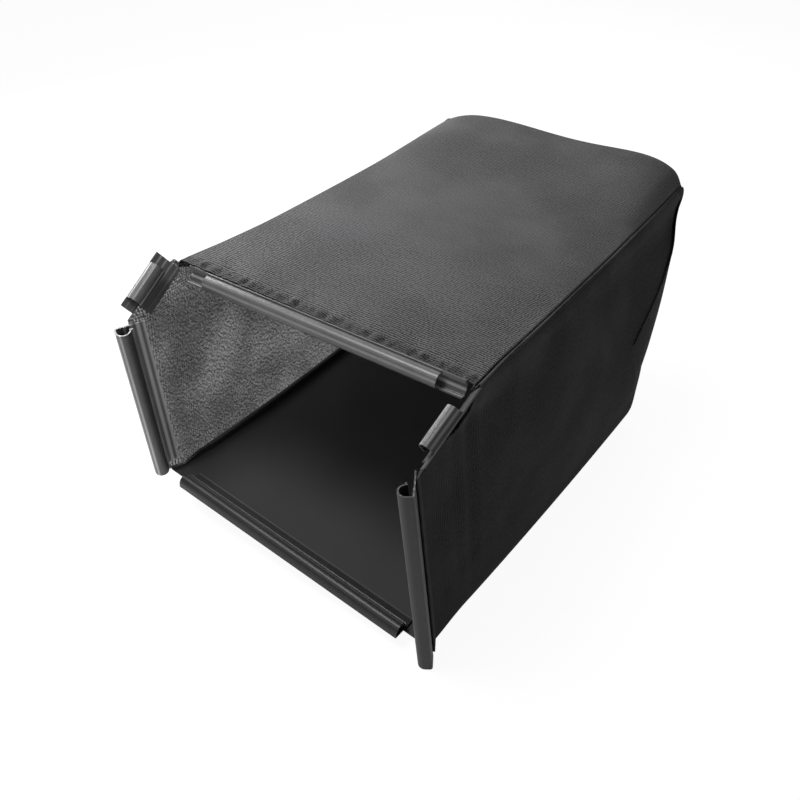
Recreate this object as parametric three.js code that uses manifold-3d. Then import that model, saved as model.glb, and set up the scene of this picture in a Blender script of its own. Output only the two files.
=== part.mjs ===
import * as THREE from 'three';
import { mergeVertices } from 'three/addons/utils/BufferGeometryUtils.js';
import Module from 'manifold-3d';

const wasm = await Module();
wasm.setup();

// A grass collection bag: four fabric panels seamed together, open at the front, with six
// extruded plastic clips sewn to the hem of its mouth. Millimetres: x runs across the mouth,
// y from the foremost fold of the mouth to the rear, z up.

// Overall sizes of the bag
const MOUTH_WIDTH = 363;
const REAR_WIDTH = 379;
const BAG_LENGTH = 628;
const MOUTH_HEIGHT = 280;
const REAR_HEIGHT = 286;

// Side outline of the mouth and of the slanting rear wall
const TOP_SETBACK = 70;
const FOLD_HEIGHT = 228;
const BOTTOM_SETBACK = 35;
const REAR_FOOT = 513;

// How far the soft bag has settled out of its plain shape, at each corner of each side
const SETTLING = {
  left: {
    mouthTop: [-1, -2, -1],
    mouthFold: [6, 11, 3],
    mouthBottom: [0, 11, 8],
    rearTop: [4, 0, -9],
    rearBottom: [0, 0, 0],
  },
  right: {
    mouthTop: [2, 2, 1],
    mouthFold: [-9, -5, 0],
    mouthBottom: [14, -10, -12],
    rearTop: [-13, -2, -11],
    rearBottom: [21, -2, -9],
  },
};

// Fabric, hem and seams
const FABRIC = 1.2;
const HEM_THICKNESS = 2;
const HEM_DEPTH = 14;
const HEM_FLARE = 8;
const TOP_CORNER_HEM = 0.35;
const EDGE_WIDTH = 5;
const EDGE_DEPTH = 20;
const MOUTH_EDGE_WIDTH = 3;
const MOUTH_EDGE_DEPTH = 4;
const EDGE_ROUNDING_RUN = 60;
const REAR_TOP_RADIUS = 26;
const REAR_FOOT_RADIUS = 22;
const SEAM_FOLD = 2.4;
const SEAM_GAP = 0.8;
const SEAM_ALLOWANCE = 10;
const HEM_ALLOWANCE = 4;
const ALLOWANCE_RUN = 30;
const BINDING = 0.9;
const BINDING_START = 5;
const REAR_TAPE_WIDTH = 18;
const REAR_TAPE = 0.9;
const REAR_TAPE_GAP = 0.7;
const BINDING_GAP = 0.5;

// Slack of the panels: outward swell, and the shallow dip of the top edge lines
const SIDE_SWELL = 13;
const REAR_SWELL = 20;
const CROWN_FULLNESS = 6;
const TOP_SWELL = 3;
const BOTTOM_SWELL = 2;
const TOP_EDGE_DIP = 3.5;
const BOTTOM_EDGE_SAG = 7;
const SIDE_MIDDLE_SETBACK = 130;

// Where the top starts to swell towards the rear, and the rows over which a side's swell grows
const REAR_SWELL_START = 0.6;
const SIDE_SWELL_START = 1.5;
const SIDE_SWELL_ROWS = 5;

// Clip profile: a flat strip, its free edge turned up and back into a hook with a flared lip
const CLIP_WALL = 1.6;
const CLIP_FLANGE = 16;
const CLIP_REACH = 16;
const CLIP_BEND = 3;
const HOOK_BEND = 2.2;
const HOOK_RADIUS = 7.3;
const HOOK_HEIGHT = 14;
const LIP_FLARE = 2.8;
const LIP_RISE = 0.9;
const CLIP_CLEARANCE = 0.35;

// Clip lengths, and where each stands along its hem
const TOP_CLIP_LENGTH = 326;
const TOP_CLIP_SHIFT = 5;
const TOP_CLIP_SKEW = 4;
const TOP_CLIP_DROOP = 70;
const TOP_HOOK_NOTCH_LEFT = 26;
const TOP_HOOK_NOTCH_RIGHT = 25;
const TOP_HOOK_LIP = 7;
const TOP_FLANGE_SHORTFALL = 13;
const BOTTOM_CLIP_LENGTH = 316;
const BOTTOM_CLIP_SHIFT = -1;
const UPPER_CLIP_END_GAP = 8;
const UPPER_HOOK_LENGTH = 43;
const UPPER_HOOK_START = { left: 14, right: 28 };
const UPPER_FLANGE_SHORTFALL = 10;
const LOWER_CLIP_END_GAP = 4;
const LOWER_FLANGE_SHORTFALL = 6;
const LOWER_HOOK_OVERRUN = { left: -8, right: 5 };

// How finely bends, folds and spans are divided, and where the points of a side's wall stand
const HOOK_STEPS = 6;
const FLANGE_STEPS = 4;
const FOLD_STEPS = 3;
const EDGE_STEPS = 4;
const WRAP_STEPS = 10;
const TAPE_STEPS = 6;
const WALL_REACHES = [0.3, 0.65, 1];

// The curves of an edge line in order, the steps along each, and the closer spacing near the mouth
const CURVE_NAMES = ['topHem', 'top', 'rearTop', 'rear', 'foot', 'bottom', 'bottomHem'];
const CURVE = Object.fromEntries(CURVE_NAMES.map((name, k) => [name, k]));
const CURVE_STEPS = [1, 9, 4, 6, 4, 9, 1];
const LONG_STEPS = CURVE_STEPS[CURVE.top];
const LONG_SPACING = 1.4;

// How far every cutter reaches past the clip that it cuts, and the shortest step of a profile
const CUT_REACH = 40;
const SHORTEST_STEP = 0.1;

const COLOURS = {
  topFabric: 0x58585a,
  sideFabric: 0x2a2a2c,
  meshFabric: 0x5c5c5e,
  coatedBottom: 0x26262a,
  tape: 0x1d1d1f,
  clip: 0x6c6c70,
};

const vec = (x, y, z) => new THREE.Vector3(x, y, z);
const lerp = (a, b, t) => a.clone().lerp(b, t);
const along = (point, direction, amount) => point.clone().addScaledVector(direction, amount);
const smooth = (value) => THREE.MathUtils.smoothstep(value, 0, 1);

// Corner points of one side of the bag, settled as the soft bag stands: those of its throat,
// where the hem starts to flare, those of the hem's edge, and those of the rear
function sideCorners(name) {
  const sign = name === 'left' ? -1 : 1;
  const settle = SETTLING[name];
  const corner = (x, y, z, shift) => vec(sign * x + shift[0], y + shift[1], z + shift[2]);
  const hem = vec(sign * HEM_FLARE, -HEM_DEPTH, 0);
  const throatTop = corner(MOUTH_WIDTH / 2, TOP_SETBACK, MOUTH_HEIGHT, settle.mouthTop);
  const throatFold = corner(MOUTH_WIDTH / 2, 0, FOLD_HEIGHT, settle.mouthFold);
  const throatBottom = corner(MOUTH_WIDTH / 2, BOTTOM_SETBACK, 0, settle.mouthBottom);
  const upward = throatFold.clone().sub(throatBottom).normalize();
  const slant = throatTop.clone().sub(throatFold).normalize();
  const ahead = vec(0, -slant.z, slant.y).normalize();
  const upperHem = along(vec(sign * HEM_FLARE, 0, 0), ahead, HEM_DEPTH);
  const mitre = (HEM_DEPTH - hem.dot(ahead)) / upward.dot(ahead);
  return {
    sign,
    hem,
    upperHem,
    throatTop,
    throatFold,
    throatBottom,
    hemTop: along(throatTop, upperHem, TOP_CORNER_HEM),
    hemFold: along(throatFold, hem, 1).addScaledVector(upward, mitre),
    hemBottom: along(throatBottom, hem, 1),
    rearTop: corner(REAR_WIDTH / 2, BAG_LENGTH, REAR_HEIGHT, settle.rearTop),
    rearBottom: corner(REAR_WIDTH / 2, REAR_FOOT, 0, settle.rearBottom),
  };
}

// The edge line of one side: along the top, round the rear, and back under the bag, as curves
function edgeCurves(c) {
  const before = (from, to, distance) => along(to, to.clone().sub(from).normalize(), -distance);
  const topEnd = before(c.throatTop, c.rearTop, REAR_TOP_RADIUS);
  const rearStart = before(c.rearBottom, c.rearTop, REAR_TOP_RADIUS);
  const rearEnd = before(c.rearTop, c.rearBottom, REAR_FOOT_RADIUS);
  const footStart = before(c.throatBottom, c.rearBottom, REAR_FOOT_RADIUS);
  const dip = lerp(c.throatTop, topEnd, 0.5);
  dip.z -= 2 * TOP_EDGE_DIP;
  const sag = lerp(footStart, c.throatBottom, 0.5);
  sag.z -= 2 * BOTTOM_EDGE_SAG;
  return [
    new THREE.LineCurve3(c.hemTop, c.throatTop),
    new THREE.QuadraticBezierCurve3(c.throatTop, dip, topEnd),
    new THREE.QuadraticBezierCurve3(topEnd, c.rearTop, rearStart),
    new THREE.LineCurve3(rearStart, rearEnd),
    new THREE.QuadraticBezierCurve3(rearEnd, c.rearBottom, footStart),
    new THREE.QuadraticBezierCurve3(footStart, sag, c.throatBottom),
    new THREE.LineCurve3(c.throatBottom, c.hemBottom),
  ];
}

const left = sideCorners('left');
const right = sideCorners('right');
const leftCurves = edgeCurves(left);
const rightCurves = edgeCurves(right);

// The long curves' stations stand closer together near the mouth
function stationShare(curve, step) {
  const share = step / CURVE_STEPS[curve];
  if (curve === CURVE.top) return share ** LONG_SPACING;
  if (curve === CURVE.bottom) return 1 - (1 - share) ** LONG_SPACING;
  return share;
}

// Stations along both edge lines, each with the row of the side panel's middle line it leads to
function makeStations() {
  const stations = [];
  const spineRow = (curve, step) => {
    if (curve === CURVE.topHem) return 0;
    if (curve === CURVE.top) return step + 1;
    if (curve === CURVE.bottom) return LONG_STEPS + 1 - step;
    if (curve === CURVE.bottomHem) return 1;
    return LONG_STEPS + 1;
  };
  CURVE_STEPS.forEach((steps, curve) => {
    for (let step = 0; step < steps; step += 1) {
      stations.push({ curve, t: stationShare(curve, step), row: spineRow(curve, step) });
    }
  });
  stations.push({ curve: CURVE.bottomHem, t: 1, row: 0 });
  return stations;
}

// The edge points and directions at a station: across the bag, and inward from the wall
function frameAt(curve, t) {
  const l = leftCurves[curve].getPoint(t);
  const r = rightCurves[curve].getPoint(t);
  const across = r.clone().sub(l).normalize();
  const tangent = leftCurves[curve].getTangent(t).add(rightCurves[curve].getTangent(t));
  const inward = across.clone().cross(tangent).normalize().negate();
  return { l, r, across, inward };
}

const nearThroat = (corners, curve) => (
  curve <= CURVE.rearTop ? corners.throatTop : corners.throatBottom
);

// How far a point of the edge line is behind the throat
function runBehindThroat(point, corners, curve) {
  const onHem = curve === CURVE.topHem || curve === CURVE.bottomHem;
  return onHem ? 0 : point.distanceTo(nearThroat(corners, curve));
}

// Inward direction of a side's edge: square to the wall, but in line with the mouth near the mouth
function slantedInward(frame, point, corners, curve) {
  if (curve > CURVE.top && curve < CURVE.bottom) return frame.inward;
  const lean = corners.throatFold.clone().sub(nearThroat(corners, curve));
  lean.divideScalar(lean.dot(frame.inward));
  const run = runBehindThroat(point, corners, curve);
  return lerp(lean, frame.inward, smooth(run / (2 * EDGE_ROUNDING_RUN)));
}

// One side's edge at a station: its point, directions, rounding and seam allowance
function edgeAt(name, curve, t) {
  const frame = frameAt(curve, t);
  const corners = name === 'left' ? left : right;
  const point = name === 'left' ? frame.l : frame.r;
  const toMiddle = name === 'left' ? frame.across.clone() : frame.across.clone().negate();
  const inward = slantedInward(frame, point, corners, curve);
  const run = runBehindThroat(point, corners, curve);
  const grow = (atMouth, full, length) => THREE.MathUtils.lerp(atMouth, full, smooth(run / length));
  return {
    point,
    toMiddle,
    inward,
    square: frame.inward,
    width: grow(MOUTH_EDGE_WIDTH, EDGE_WIDTH, EDGE_ROUNDING_RUN),
    depth: grow(MOUTH_EDGE_DEPTH, EDGE_DEPTH, EDGE_ROUNDING_RUN),
    allowance: grow(HEM_ALLOWANCE, SEAM_ALLOWANCE, ALLOWANCE_RUN),
  };
}

function place(edge, lateral, depth) {
  return along(along(edge.point, edge.toMiddle, lateral), edge.inward, depth);
}

// Turned-in seam allowance and its fold, from the raw edge out to the panel's face
function seamFold(edge, seam, sense) {
  const points = [place(edge, seam, edge.allowance)];
  for (let k = 0; k <= FOLD_STEPS; k += 1) {
    const a = (k / FOLD_STEPS) * (Math.PI / 2);
    const lateral = seam - sense * SEAM_FOLD * (1 - Math.cos(a));
    points.push(place(edge, lateral, SEAM_FOLD * (1 - Math.sin(a))));
  }
  return points;
}

// Turns a grid of surface points into a closed sheet, thickened away from its outer face
function sheetSolid(rows, thicknessOf, flip) {
  const positions = [];
  const thickness = [];
  const columns = rows[0].length;
  rows.forEach((row, i) => {
    row.forEach((point, j) => {
      positions.push(point.x, point.y, point.z);
      thickness.push(thicknessOf(i, j));
    });
  });
  const index = [];
  for (let i = 0; i < rows.length - 1; i += 1) {
    for (let j = 0; j < columns - 1; j += 1) {
      const a = i * columns + j;
      const b = a + 1;
      const c = a + columns;
      const d = c + 1;
      index.push(a, b, d, a, d, c);
    }
  }
  const grid = new THREE.BufferGeometry();
  grid.setAttribute('position', new THREE.Float32BufferAttribute(positions, 3));
  grid.setAttribute('thickness', new THREE.Float32BufferAttribute(thickness, 1));
  grid.setIndex(index);
  return thicken(mergeVertices(grid, 1e-3), flip);
}

function thicken(surface, flip) {
  const source = surface.index.array;
  const faces = [];
  for (let k = 0; k < source.length; k += 3) {
    const [a, b, c] = [source[k], source[k + 1], source[k + 2]];
    if (a !== b && b !== c && c !== a) faces.push(flip ? [a, c, b] : [a, b, c]);
  }
  surface.setIndex(faces.flat());
  surface.computeVertexNormals();
  const { position, normal, thickness } = surface.attributes;
  const count = position.count;
  const positions = Array.from(position.array);
  for (let k = 0; k < count; k += 1) {
    const inner = along(
      vec(position.getX(k), position.getY(k), position.getZ(k)),
      vec(normal.getX(k), normal.getY(k), normal.getZ(k)),
      -thickness.getX(k),
    );
    positions.push(inner.x, inner.y, inner.z);
  }
  const edges = new Set(faces.flatMap(([a, b, c]) => [`${a},${b}`, `${b},${c}`, `${c},${a}`]));
  const index = [];
  for (const [a, b, c] of faces) {
    index.push(a, b, c, a + count, c + count, b + count);
    for (const [from, to] of [[a, b], [b, c], [c, a]]) {
      if (!edges.has(`${to},${from}`)) index.push(from, from + count, to + count, from, to + count, to);
    }
  }
  const solid = new THREE.BufferGeometry();
  solid.setAttribute('position', new THREE.Float32BufferAttribute(positions, 3));
  solid.setIndex(index);
  return solid;
}

// Skins a closed loop of points carried along the stations, with flat ends
function loopSolid(loops) {
  const size = loops[0].length;
  const positions = loops.flat().flatMap((p) => [p.x, p.y, p.z]);
  const index = [];
  for (let i = 0; i < loops.length - 1; i += 1) {
    for (let j = 0; j < size; j += 1) {
      const a = i * size + j;
      const b = i * size + ((j + 1) % size);
      index.push(a, b, b + size, a, b + size, a + size);
    }
  }
  const last = (loops.length - 1) * size;
  const outline = bindingOutline().map(([x, y]) => new THREE.Vector2(x, y));
  const turns = (points) => Math.sign(THREE.ShapeUtils.area(points));
  for (const corners of THREE.ShapeUtils.triangulateShape(outline, [])) {
    const same = turns(corners.map((k) => outline[k])) === turns(outline);
    const [a, b, c] = same ? corners : [...corners].reverse();
    index.push(c, b, a, last + a, last + b, last + c);
  }
  const solid = new THREE.BufferGeometry();
  solid.setAttribute('position', new THREE.Float32BufferAttribute(positions, 3));
  solid.setIndex(index);
  return facingOut(solid);
}

function signedVolume(geometry) {
  const { position } = geometry.attributes;
  const at = (k) => vec(position.getX(k), position.getY(k), position.getZ(k));
  const list = geometry.index.array;
  let volume = 0;
  for (let k = 0; k < list.length; k += 3) {
    volume += at(list[k]).dot(at(list[k + 1]).cross(at(list[k + 2])));
  }
  return volume / 6;
}

function facingOut(geometry) {
  if (signedVolume(geometry) > 0) return geometry;
  const list = Array.from(geometry.index.array);
  for (let k = 0; k < list.length; k += 3) {
    [list[k + 1], list[k + 2]] = [list[k + 2], list[k + 1]];
  }
  geometry.setIndex(list);
  return geometry;
}

// The middle line of a side panel, from the mouth's fold to a point ahead of the rear wall
function spinePoint(corners, row) {
  const start = corners.throatFold;
  const end = lerp(corners.rearTop, corners.rearBottom, 0.5);
  end.y -= SIDE_MIDDLE_SETBACK;
  if (row === 0) return corners.hemFold;
  return lerp(start, end, ((row - 1) / LONG_STEPS) ** LONG_SPACING);
}

const spineSwell = (row) => SIDE_SWELL * smooth((row - SIDE_SWELL_START) / SIDE_SWELL_ROWS);

// A side panel: seam allowance, fold, rounded edge, then the wall up to its middle line
function sidePanelRow(name, station) {
  const edge = edgeAt(name, station.curve, station.t);
  const corners = name === 'left' ? left : right;
  const row = seamFold(edge, edge.width + SEAM_FOLD, 1);
  for (let k = 1; k <= EDGE_STEPS; k += 1) {
    const a = (k / EDGE_STEPS) * (Math.PI / 2);
    row.push(place(edge, edge.width * (1 - Math.sin(a)), edge.depth * (1 - Math.cos(a))));
  }
  const wallStart = row[row.length - 1];
  const spine = spinePoint(corners, station.row);
  for (const reach of WALL_REACHES) {
    const swell = spineSwell(station.row) * Math.sin((reach * Math.PI) / 2);
    row.push(along(lerp(wallStart, spine, reach), vec(corners.sign, 0, 0), swell));
  }
  return row;
}

// Points that a seam's allowance and fold take up at the edge of a row
const FOLD_POINTS = FOLD_STEPS + 2;

function sidePanel(name) {
  const stations = makeStations();
  const rows = stations.map((station) => sidePanelRow(name, station));
  const thicknessOf = (i, j) => {
    const hem = i === 0 || i === stations.length - 1;
    return hem && j >= FOLD_POINTS ? HEM_THICKNESS : FABRIC;
  };
  return facingOut(sheetSolid(rows, thicknessOf, name === 'left'));
}

// Swell of the wrap at a station: the top, the rear wall and the bottom each have their own
function wrapSwell(curve, t) {
  const nearRear = smooth((t - REAR_SWELL_START) / (1 - REAR_SWELL_START));
  if (curve === CURVE.top) return TOP_SWELL * Math.sin(Math.PI * t) + REAR_SWELL * nearRear;
  if (curve === CURVE.rearTop) return REAR_SWELL;
  if (curve === CURVE.rear) return REAR_SWELL * (1 - smooth(t));
  if (curve === CURVE.bottom) return BOTTOM_SWELL * Math.sin(Math.PI * t);
  return 0;
}

// The wrap carries both the top and rear panel and the bottom panel, between the two side seams
function wrapRow(curve, t, depth = 0) {
  const l = edgeAt('left', curve, t);
  const r = edgeAt('right', curve, t);
  const seam = (edge) => edge.width + SEAM_FOLD + SEAM_GAP;
  const swell = wrapSwell(curve, t);
  const start = place(l, seam(l) + SEAM_FOLD, 0);
  const end = place(r, seam(r) + SEAM_FOLD, 0);
  const middle = [];
  for (let k = 1; k < WRAP_STEPS; k += 1) {
    const share = k / WRAP_STEPS;
    const crown = swell * (1 - Math.abs(2 * share - 1) ** CROWN_FULLNESS);
    middle.push(along(lerp(start, end, share), l.square, depth - crown));
  }
  return { l, r, seam, middle };
}

function wrapPanel(list) {
  const rows = list.map(([curve, t]) => {
    const { l, r, seam, middle } = wrapRow(curve, t);
    return [...seamFold(l, seam(l), -1), ...middle, ...seamFold(r, seam(r), -1).reverse()];
  });
  const mouthEnds = [[CURVE.top, 0], [CURVE.bottomHem, 1]];
  const atMouth = (station) => mouthEnds.some(([curve, t]) => station[0] === curve && station[1] === t);
  const thicknessOf = (i, j) => {
    const inner = j >= FOLD_POINTS && j < rows[0].length - FOLD_POINTS;
    return inner && atMouth(list[i]) ? HEM_THICKNESS : FABRIC;
  };
  return facingOut(sheetSolid(rows, thicknessOf, false));
}

// Places on the foot curve just before and after the seam under the rear wall
const footLength = leftCurves[CURVE.foot].getLength();
const footShare = (distance) => 0.5 + distance / footLength;
const stationsWhere = (test) => makeStations().filter(test).map(({ curve, t }) => [curve, t]);

const topList = [
  ...stationsWhere(({ curve }) => curve > CURVE.topHem && curve < CURVE.foot),
  ...stationsWhere(({ curve, t }) => curve === CURVE.foot && t < 0.5),
  [CURVE.foot, footShare(-SEAM_GAP / 2)],
];
const bottomList = [
  [CURVE.foot, footShare(SEAM_GAP / 2)],
  ...stationsWhere(({ curve, t }) => curve === CURVE.foot && t > 0.5),
  ...stationsWhere(({ curve }) => curve > CURVE.foot),
];

// Flat tape inside the seam where the rear wall meets the bottom
function rearTape() {
  const rows = [];
  for (let k = 0; k <= TAPE_STEPS; k += 1) {
    const t = footShare(REAR_TAPE_WIDTH * (k / TAPE_STEPS - 0.5));
    const { middle } = wrapRow(CURVE.foot, t, FABRIC + REAR_TAPE_GAP);
    rows.push(middle);
  }
  return facingOut(sheetSolid(rows, () => REAR_TAPE, false));
}

// Outline of the binding folded over the two seam allowances: lateral place, then depth
function bindingOutline(edge = { width: EDGE_WIDTH, allowance: SEAM_ALLOWANCE }) {
  const seam = edge.width + SEAM_FOLD;
  const near = seam - FABRIC - BINDING_GAP - BINDING;
  const far = seam + SEAM_GAP + FABRIC + BINDING_GAP + BINDING;
  const end = edge.allowance + BINDING_GAP + BINDING;
  return [
    [near, BINDING_START],
    [near, end],
    [far, end],
    [far, BINDING_START],
    [far - BINDING, BINDING_START],
    [far - BINDING, end - BINDING],
    [near + BINDING, end - BINDING],
    [near + BINDING, BINDING_START],
  ];
}

function seamBinding(name) {
  const stations = makeStations().slice(2, -2);
  const loops = stations.map(({ curve, t }) => {
    const edge = edgeAt(name, curve, t);
    return bindingOutline(edge).map(([lateral, depth]) => place(edge, lateral, depth));
  });
  return loopSolid(loops);
}

// Hook profile as a centre line: x runs from the hem's edge to the free edge, y to the hook's side
function hookLine() {
  const wall = CLIP_REACH - CLIP_WALL / 2;
  const centre = HOOK_HEIGHT - HOOK_RADIUS;
  const line = new THREE.Path();
  line.moveTo(0, 0);
  line.lineTo(wall - HOOK_BEND, 0);
  line.quadraticCurveTo(wall, 0, wall, HOOK_BEND);
  line.lineTo(wall, centre);
  line.absarc(wall - HOOK_RADIUS, centre, HOOK_RADIUS, 0, Math.PI, false);
  line.lineTo(wall - 2 * HOOK_RADIUS - LIP_FLARE, centre + LIP_RISE);
  return line.getPoints(HOOK_STEPS);
}

// The whole profile: the flange under the hem, then the hook, drooping by the given angle
function clipCentreLine(angle) {
  const turn = THREE.MathUtils.degToRad(-angle);
  const hook = hookLine().map((p) => p.rotateAround(new THREE.Vector2(0, 0), turn));
  const flange = new THREE.Path();
  flange.moveTo(-CLIP_FLANGE, 0);
  flange.lineTo(-CLIP_BEND, 0);
  flange.quadraticCurveTo(0, 0, CLIP_BEND * Math.cos(turn), CLIP_BEND * Math.sin(turn));
  const beyondBend = hook.filter((p) => p.length() > CLIP_BEND + SHORTEST_STEP);
  return [...flange.getPoints(FLANGE_STEPS), ...beyondBend];
}

// Gives a centre line its wall, as a closed shape
function ribbon(points, wall) {
  const clean = points.filter((p, k) => k === 0 || p.distanceTo(points[k - 1]) > SHORTEST_STEP);
  const offset = (side) => clean.map((p, k) => {
    const before = clean[Math.max(0, k - 1)];
    const after = clean[Math.min(clean.length - 1, k + 1)];
    const first = p.clone().sub(before).normalize();
    const second = after.clone().sub(p).normalize();
    const tangent = first.clone().add(second).normalize();
    const reach = wall / 2 / Math.max(0.5, tangent.dot(second.lengthSq() ? second : first));
    return new THREE.Vector2(p.x - tangent.y * side * reach, p.y + tangent.x * side * reach);
  });
  return new THREE.Shape([...offset(1), ...offset(-1).reverse()]);
}

function toManifold(geometry) {
  const bare = geometry.clone();
  bare.deleteAttribute('normal');
  bare.deleteAttribute('uv');
  const merged = mergeVertices(bare, 1e-4);
  return new wasm.Manifold(new wasm.Mesh({
    numProp: 3,
    vertProperties: new Float32Array(merged.attributes.position.array),
    triVerts: new Uint32Array(merged.index.array),
  }));
}

function fromManifold(solid) {
  const mesh = solid.getMesh();
  const geometry = new THREE.BufferGeometry();
  geometry.setAttribute('position', new THREE.BufferAttribute(new Float32Array(mesh.vertProperties), 3));
  geometry.setIndex(new THREE.BufferAttribute(new Uint32Array(mesh.triVerts), 1));
  return geometry;
}

// A cutter over the given spans of the clip's own x, y and length
function cutter(x0, x1, y0, y1, z0, z1) {
  const box = new THREE.BoxGeometry(x1 - x0, y1 - y0, z1 - z0);
  box.translate((x0 + x1) / 2, (y0 + y1) / 2, (z0 + z1) / 2);
  return box;
}

function clipGeometry(profile, length, cuts) {
  const shape = ribbon(profile, CLIP_WALL);
  const body = new THREE.ExtrudeGeometry(shape, { depth: length, bevelEnabled: false });
  return fromManifold(cuts.reduce((rest, cut) => rest.subtract(toManifold(cut)), toManifold(body)));
}

const materials = {};
function material(kind, roughness) {
  materials[kind] ??= new THREE.MeshStandardMaterial({ color: COLOURS[kind], roughness, metalness: 0 });
  return materials[kind].clone();
}

const bag = new THREE.Group();

function add(name, geometry, finish) {
  geometry.computeVertexNormals();
  const mesh = new THREE.Mesh(geometry, finish);
  mesh.name = name;
  bag.add(mesh);
  return mesh;
}

add('top_back_panel', wrapPanel(topList), material('topFabric', 0.85));
add('bottom_panel', wrapPanel(bottomList), material('coatedBottom', 0.6));
add('left_side_panel', sidePanel('left'), material('meshFabric', 0.9));
add('right_side_panel', sidePanel('right'), material('sideFabric', 0.85));
add('left_seam_binding', seamBinding('left'), material('tape', 0.8));
add('right_seam_binding', seamBinding('right'), material('tape', 0.8));
add('rear_bottom_seam_tape', rearTape(), material('tape', 0.8));

// Seats a clip on the inside of a hem, from start to end, with the lengthwise cuts it is given
function addClip(clip) {
  const { name, start, end, outOfMouth, inside, hookSide } = clip;
  const { droop = 0, hookCuts = [], flangeCuts = [] } = clip;
  const run = end.clone().sub(start);
  const length = run.length();
  run.normalize();
  const forward = along(outOfMouth, run, -outOfMouth.dot(run)).normalize();
  const wanted = along(hookSide, run, -hookSide.dot(run));
  const up = along(wanted, forward, -wanted.dot(forward)).normalize();
  const reversed = forward.clone().cross(up).dot(run) < 0;
  const makeCutter = ([x0, x1, y0, y1, from, to]) => {
    const [z0, z1] = reversed ? [length - to, length - from] : [from, to];
    return cutter(x0, x1, y0, y1, z0, z1);
  };
  const turned = hookCuts.map((cut) => makeCutter(cut).rotateZ(THREE.MathUtils.degToRad(-droop)));
  const geometry = clipGeometry(clipCentreLine(droop), length, [...turned, ...flangeCuts.map(makeCutter)]);
  const lift = HEM_THICKNESS + CLIP_CLEARANCE + CLIP_WALL / 2;
  const side = up.dot(inside) < 0 ? -1 : 1;
  const basis = new THREE.Matrix4().makeBasis(forward, up, forward.clone().cross(up));
  basis.setPosition(along(reversed ? end : start, up, side * lift));
  add(name, geometry, material('clip', 0.45)).applyMatrix4(basis);
}

// The part of a clip's section that lies under the hem
const flangeSpan = [-CUT_REACH, 0, -2 * CLIP_WALL, 2 * CLIP_WALL];

// Upper and lower clips of one side: the upper hook is shorter than its strip, the lower one longer
function addSideClips(name, corners) {
  const shared = {
    inside: vec(-corners.sign, 0, 0),
    hookSide: vec(-corners.sign, 0, 0),
  };
  const upward = corners.hemTop.clone().sub(corners.hemFold).normalize();
  const upperStart = along(corners.hemTop, upward, -UPPER_CLIP_END_GAP);
  const upperEnd = along(corners.hemFold, upward, UPPER_CLIP_END_GAP);
  const hookStart = UPPER_HOOK_START[name];
  const hookEnd = hookStart + UPPER_HOOK_LENGTH;
  const clear = [-CUT_REACH, CUT_REACH, CLIP_WALL / 2, CUT_REACH];
  const upperLength = upperStart.distanceTo(upperEnd);
  addClip({
    ...shared,
    name: `upper_${name}_clip`,
    outOfMouth: corners.upperHem,
    start: upperStart,
    end: upperEnd,
    hookCuts: [[...clear, -CUT_REACH, hookStart], [...clear, hookEnd, upperLength + CUT_REACH]],
    flangeCuts: [[...flangeSpan, upperLength - UPPER_FLANGE_SHORTFALL, upperLength + CUT_REACH]],
  });
  const downward = corners.hemBottom.clone().sub(corners.hemFold).normalize();
  const lowerStart = along(corners.hemFold, downward, LOWER_CLIP_END_GAP);
  const overrun = LOWER_HOOK_OVERRUN[name];
  const lowerEnd = along(corners.hemBottom, downward, overrun);
  const lowerLength = lowerStart.distanceTo(lowerEnd);
  const flangeEnd = lowerLength - Math.max(0, overrun) - LOWER_FLANGE_SHORTFALL;
  addClip({
    ...shared,
    name: `lower_${name}_clip`,
    outOfMouth: corners.hem,
    start: lowerStart,
    end: lowerEnd,
    flangeCuts: [[...flangeSpan, flangeEnd, lowerLength + CUT_REACH]],
  });
}

// A clip centred on the hem line between the two sides' corners
function crossSpan(from, to, length, shift) {
  const direction = to.clone().sub(from).normalize();
  const middle = along(lerp(from, to, 0.5), direction, shift);
  return { start: along(middle, direction, -length / 2), end: along(middle, direction, length / 2) };
}

addSideClips('left', left);
addSideClips('right', right);

// The top clip's strip follows the slope of the cloth behind the mouth. Its front wall is cut
// away at both ends, which leaves the strip and a lower lip
const [leftSlope, rightSlope] = [leftCurves, rightCurves].map((curves) => curves[CURVE.top].getTangent(0));
const aboveLip = [-CUT_REACH, CUT_REACH, TOP_HOOK_LIP, CUT_REACH];
const skewed = right.throatTop.clone().add(vec(0, TOP_CLIP_SKEW, 0));
addClip({
  ...crossSpan(left.throatTop, skewed, TOP_CLIP_LENGTH, TOP_CLIP_SHIFT),
  name: 'top_clip',
  outOfMouth: leftSlope.add(rightSlope).negate().normalize(),
  inside: vec(0, 0, -1),
  hookSide: vec(0, 0, 1),
  droop: TOP_CLIP_DROOP,
  hookCuts: [
    [...aboveLip, -CUT_REACH, TOP_HOOK_NOTCH_LEFT],
    [...aboveLip, TOP_CLIP_LENGTH - TOP_HOOK_NOTCH_RIGHT, TOP_CLIP_LENGTH + CUT_REACH],
  ],
  flangeCuts: [
    [...flangeSpan, -CUT_REACH, TOP_FLANGE_SHORTFALL],
    [...flangeSpan, TOP_CLIP_LENGTH - TOP_FLANGE_SHORTFALL, TOP_CLIP_LENGTH + CUT_REACH],
  ],
});

addClip({
  ...crossSpan(left.hemBottom, right.hemBottom, BOTTOM_CLIP_LENGTH, BOTTOM_CLIP_SHIFT),
  name: 'bottom_clip',
  outOfMouth: vec(0, -1, 0),
  inside: vec(0, 0, 1),
  hookSide: vec(0, 0, 1),
});

// The origin is under the middle of the bag, level with its lowest point
const extent = new THREE.Box3().setFromObject(bag);
const centre = extent.getCenter(vec(0, 0, 0));
bag.position.set(-centre.x, -centre.y, -extent.min.z);

export default bag;
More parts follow.
